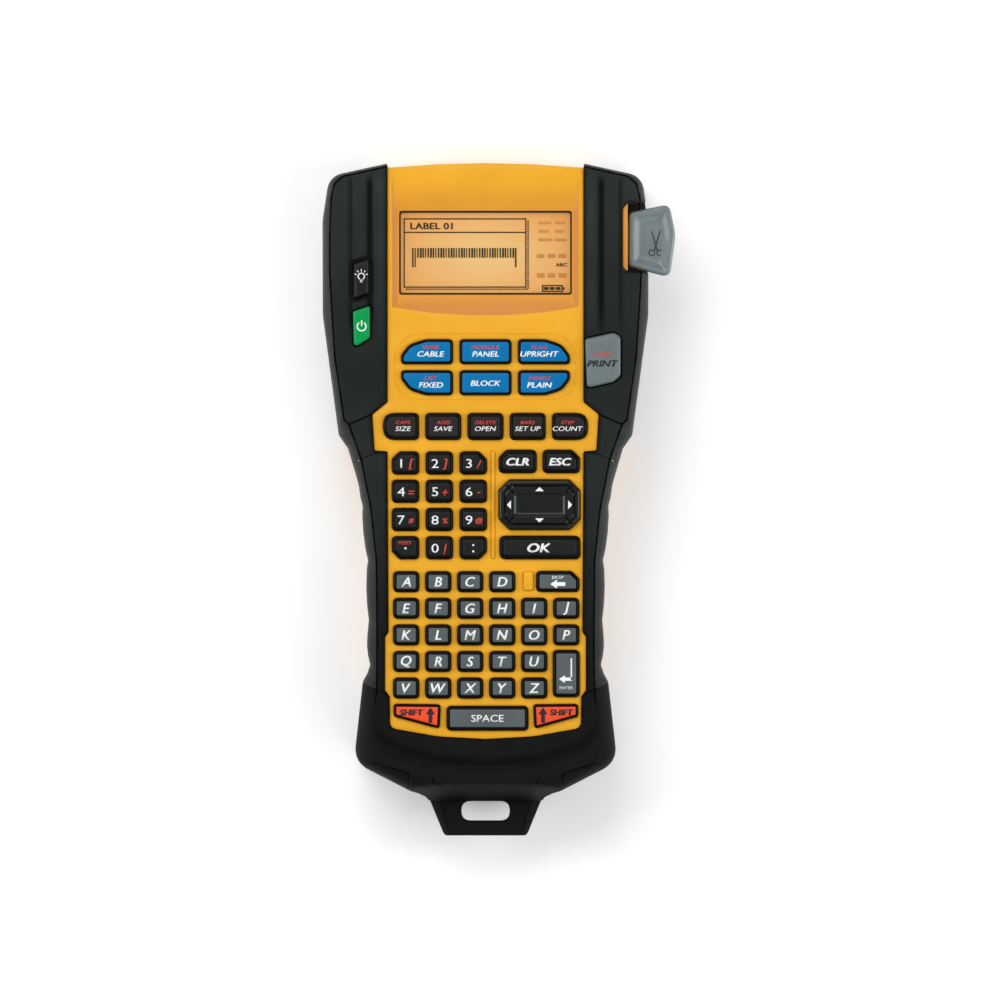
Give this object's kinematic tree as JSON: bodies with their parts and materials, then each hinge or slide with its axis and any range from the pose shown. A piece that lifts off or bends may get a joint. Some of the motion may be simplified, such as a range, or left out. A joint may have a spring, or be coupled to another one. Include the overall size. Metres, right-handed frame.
{
  "type": "handheld label maker",
  "caption": "Handheld thermal-transfer label maker with rubber guards, keypad, amber display, tape cassette, battery pack and side cutter lever.",
  "frame": {"origin": "on the flat back of the head, on the centre line, just below the cassette door, where the label maker rests when it lies on its back", "axes": "+Z out of the keypad, +Y along the grip towards the label exit, +X towards the cutter lever's side"},
  "size_m": [0.1412, 0.2696, 0.0572],
  "materials": {
    "yellow_plastic": "fine satin moulding",
    "black_rubber": "fine matte overmould",
    "black_plastic": "satin",
    "keypad_rubber": "satin, dark rim round each key",
    "keypad_grey": "satin, dark rim",
    "grey_plastic": "satin",
    "blue_plastic": "semi-gloss with a black rim",
    "red_plastic": "semi-gloss with a black rim",
    "green_plastic": "semi-gloss",
    "ivory_plastic": "natural acetal",
    "steel": "bright zinc",
    "brass": "machined",
    "circuit_board": "solder mask",
    "display_window": "clear moulded window",
    "display_panel": "amber backlit panel"
  },
  "bodies": {
    "case": {"front_cover": "yellow_plastic", "rear_housing": "yellow_plastic", "upper_guard_left": "black_rubber", "upper_guard_right": "black_rubber", "grip_left": "black_rubber", "grip_right": "black_rubber", "bottom_bumper": "black_rubber", "display_window": "display_window", "display_panel": "display_panel", "circuit_board": "circuit_board", "keypad_mat": "keypad_rubber", "cassette_door_pin": "steel", "battery_pack": "black_plastic", "battery_contacts": "brass", "power_jack": "black_plastic", "chassis_frame": "steel", "print_head": "ivory_plastic", "drive_motor": "steel", "cassette_shell": "black_plastic", "cutter_frame": "steel", "cutter_pivot_pin": "steel", "cutter_return_spring": "steel"},
    "motor_shaft": {"motor_pinion": "brass"},
    "idler": {"idler_gear": "ivory_plastic"},
    "platen": {"platen_gear": "ivory_plastic", "platen_shaft": "steel", "platen_roller": "black_rubber"},
    "take_up": {"take_up_gear": "ivory_plastic", "ribbon_take_up_spool": "black_plastic"},
    "ribbon_supply": {"ribbon_supply_spool": "black_plastic"},
    "tape": {"tape_roll": "ivory_plastic"},
    "cassette_door": {"cassette_door": "yellow_plastic"},
    "battery_door": {"battery_door": "black_plastic"},
    "cutter_lever": {"cutter_lever": "grey_plastic"},
    "cutter": {"cutter_carrier": "black_plastic", "cutter_blade": "steel"},
    "navigation_post": {"navigation_post": "black_plastic"},
    "navigation_key": {"navigation_key": "black_plastic"},
    "clear_key": {"clear_key": "black_plastic"},
    "escape_key": {"escape_key": "black_plastic"},
    "ok_key": {"ok_key": "black_plastic"},
    "backspace_key": {"backspace_key": "keypad_grey"},
    "enter_key": {"enter_key": "keypad_grey"},
    "space_key": {"space_key": "keypad_grey"},
    "shift_key_left": {"shift_key_left": "red_plastic"},
    "shift_key_right": {"shift_key_right": "red_plastic"},
    "hot_key_1": {"hot_key_1": "blue_plastic"},
    "hot_key_2": {"hot_key_2": "blue_plastic"},
    "hot_key_3": {"hot_key_3": "blue_plastic"},
    "hot_key_4": {"hot_key_4": "blue_plastic"},
    "hot_key_5": {"hot_key_5": "blue_plastic"},
    "hot_key_6": {"hot_key_6": "blue_plastic"},
    "function_key_1": {"function_key_1": "black_plastic"},
    "function_key_2": {"function_key_2": "black_plastic"},
    "function_key_3": {"function_key_3": "black_plastic"},
    "function_key_4": {"function_key_4": "black_plastic"},
    "function_key_5": {"function_key_5": "black_plastic"},
    "power_key": {"power_key": "green_plastic"},
    "backlight_key": {"backlight_key": "black_plastic"},
    "print_key": {"print_key": "grey_plastic"}
  },
  "joints": [
    {"name": "platen_spin", "type": "hinge", "parent": "case", "child": "platen", "pos_m": [0.0402, 0.066, 0.03], "axis": [0, 0, 1], "continuous": true},
    {"name": "idler_spin", "type": "hinge", "parent": "case", "child": "idler", "pos_m": [0.0402, 0.048, 0.03], "axis": [0, 0, 1], "continuous": true},
    {"name": "motor_spin", "type": "hinge", "parent": "case", "child": "motor_shaft", "pos_m": [0.0402, 0.032, 0.03], "axis": [0, 0, 1], "continuous": true},
    {"name": "take_up_spin", "type": "hinge", "parent": "case", "child": "take_up", "pos_m": [0.01129, 0.056, 0.03], "axis": [0, 0, 1], "continuous": true},
    {"name": "tape_spin", "type": "hinge", "parent": "case", "child": "tape", "pos_m": [-0.025, 0.045, 0.03], "axis": [0, 0, 1], "continuous": true},
    {"name": "ribbon_supply_spin", "type": "hinge", "parent": "case", "child": "ribbon_supply", "pos_m": [0.01, 0.028, 0.03], "axis": [0, 0, 1], "continuous": true},
    {"name": "cassette_door_hinge", "type": "hinge", "parent": "case", "child": "cassette_door", "pos_m": [-0.05, 0.047, 0.0022], "axis": [0, 1, 0], "range_deg": [0, 95]},
    {"name": "battery_door_slide", "type": "slide", "parent": "case", "child": "battery_door", "axis": [0, 0, -1], "range_m": [0, 0.03]},
    {"name": "cutter_lever_hinge", "type": "hinge", "parent": "case", "child": "cutter_lever", "pos_m": [0.046, 0.0725, 0.045], "axis": [0, 1, 0], "range_deg": [0, 16], "stiffness_Nm_per_rad": 0.05, "springref_deg": -17.19},
    {"name": "cutter_slide", "type": "slide", "parent": "case", "child": "cutter", "axis": [-1, 0, 0], "range_m": [0, 0.0036], "deforming": ["cutter_return_spring"]},
    {"name": "navigation_pitch", "type": "hinge", "parent": "case", "child": "navigation_post", "pos_m": [0.0216, -0.0339, 0.0505], "axis": [1, 0, 0], "range_deg": [-2.5, 2.5], "stiffness_Nm_per_rad": 0.4},
    {"name": "navigation_roll", "type": "hinge", "parent": "navigation_post", "child": "navigation_key", "pos_m": [0.0216, -0.0339, 0.0505], "axis": [0, 1, 0], "range_deg": [-2.5, 2.5], "stiffness_Nm_per_rad": 0.4},
    {"name": "clear_key_press", "type": "slide", "parent": "case", "child": "clear_key", "axis": [0, 0, -1], "range_m": [0, 0.0012], "stiffness_N_per_m": 400, "springref_m": -0.0008},
    {"name": "escape_key_press", "type": "slide", "parent": "case", "child": "escape_key", "axis": [0, 0, -1], "range_m": [0, 0.0012], "stiffness_N_per_m": 400, "springref_m": -0.0008},
    {"name": "ok_key_press", "type": "slide", "parent": "case", "child": "ok_key", "axis": [0, 0, -1], "range_m": [0, 0.0012], "stiffness_N_per_m": 400, "springref_m": -0.0008},
    {"name": "backspace_key_press", "type": "slide", "parent": "case", "child": "backspace_key", "axis": [0, 0, -1], "range_m": [0, 0.0012], "stiffness_N_per_m": 400, "springref_m": -0.0008},
    {"name": "enter_key_press", "type": "slide", "parent": "case", "child": "enter_key", "axis": [0, 0, -1], "range_m": [0, 0.0012], "stiffness_N_per_m": 400, "springref_m": -0.0008},
    {"name": "space_key_press", "type": "slide", "parent": "case", "child": "space_key", "axis": [0, 0, -1], "range_m": [0, 0.0012], "stiffness_N_per_m": 400, "springref_m": -0.0008},
    {"name": "shift_key_left_press", "type": "slide", "parent": "case", "child": "shift_key_left", "axis": [0, 0, -1], "range_m": [0, 0.0012], "stiffness_N_per_m": 400, "springref_m": -0.0008},
    {"name": "shift_key_right_press", "type": "slide", "parent": "case", "child": "shift_key_right", "axis": [0, 0, -1], "range_m": [0, 0.0012], "stiffness_N_per_m": 400, "springref_m": -0.0008},
    {"name": "hot_key_1_press", "type": "slide", "parent": "case", "child": "hot_key_1", "axis": [0, 0, -1], "range_m": [0, 0.0012], "stiffness_N_per_m": 400, "springref_m": -0.0008},
    {"name": "hot_key_2_press", "type": "slide", "parent": "case", "child": "hot_key_2", "axis": [0, 0, -1], "range_m": [0, 0.0012], "stiffness_N_per_m": 400, "springref_m": -0.0008},
    {"name": "hot_key_3_press", "type": "slide", "parent": "case", "child": "hot_key_3", "axis": [0, 0, -1], "range_m": [0, 0.0012], "stiffness_N_per_m": 400, "springref_m": -0.0008},
    {"name": "hot_key_4_press", "type": "slide", "parent": "case", "child": "hot_key_4", "axis": [0, 0, -1], "range_m": [0, 0.0012], "stiffness_N_per_m": 400, "springref_m": -0.0008},
    {"name": "hot_key_5_press", "type": "slide", "parent": "case", "child": "hot_key_5", "axis": [0, 0, -1], "range_m": [0, 0.0012], "stiffness_N_per_m": 400, "springref_m": -0.0008},
    {"name": "hot_key_6_press", "type": "slide", "parent": "case", "child": "hot_key_6", "axis": [0, 0, -1], "range_m": [0, 0.0012], "stiffness_N_per_m": 400, "springref_m": -0.0008},
    {"name": "function_key_1_press", "type": "slide", "parent": "case", "child": "function_key_1", "axis": [0, 0, -1], "range_m": [0, 0.0012], "stiffness_N_per_m": 400, "springref_m": -0.0008},
    {"name": "function_key_2_press", "type": "slide", "parent": "case", "child": "function_key_2", "axis": [0, 0, -1], "range_m": [0, 0.0012], "stiffness_N_per_m": 400, "springref_m": -0.0008},
    {"name": "function_key_3_press", "type": "slide", "parent": "case", "child": "function_key_3", "axis": [0, 0, -1], "range_m": [0, 0.0012], "stiffness_N_per_m": 400, "springref_m": -0.0008},
    {"name": "function_key_4_press", "type": "slide", "parent": "case", "child": "function_key_4", "axis": [0, 0, -1], "range_m": [0, 0.0012], "stiffness_N_per_m": 400, "springref_m": -0.0008},
    {"name": "function_key_5_press", "type": "slide", "parent": "case", "child": "function_key_5", "axis": [0, 0, -1], "range_m": [0, 0.0012], "stiffness_N_per_m": 400, "springref_m": -0.0008},
    {"name": "power_key_press", "type": "slide", "parent": "case", "child": "power_key", "axis": [0, 0, -1], "range_m": [0, 0.0012], "stiffness_N_per_m": 400, "springref_m": -0.0008},
    {"name": "backlight_key_press", "type": "slide", "parent": "case", "child": "backlight_key", "axis": [0, 0, -1], "range_m": [0, 0.0012], "stiffness_N_per_m": 400, "springref_m": -0.0008},
    {"name": "print_key_press", "type": "slide", "parent": "case", "child": "print_key", "axis": [0, 0, -1], "range_m": [0, 0.0012], "stiffness_N_per_m": 400, "springref_m": -0.0008}
  ],
  "couplings": [
    {"joint": "idler_spin", "follows": "platen_spin", "ratio": -0.8},
    {"joint": "motor_spin", "follows": "platen_spin", "ratio": 1.3333},
    {"joint": "take_up_spin", "follows": "platen_spin", "ratio": 0.4},
    {"joint": "tape_spin", "follows": "platen_spin", "ratio": 0.27273},
    {"joint": "ribbon_supply_spin", "follows": "platen_spin", "ratio": -0.92308},
    {"joint": "cutter_slide", "follows": "cutter_lever_hinge", "m_per_rad": 0.0126}
  ]
}
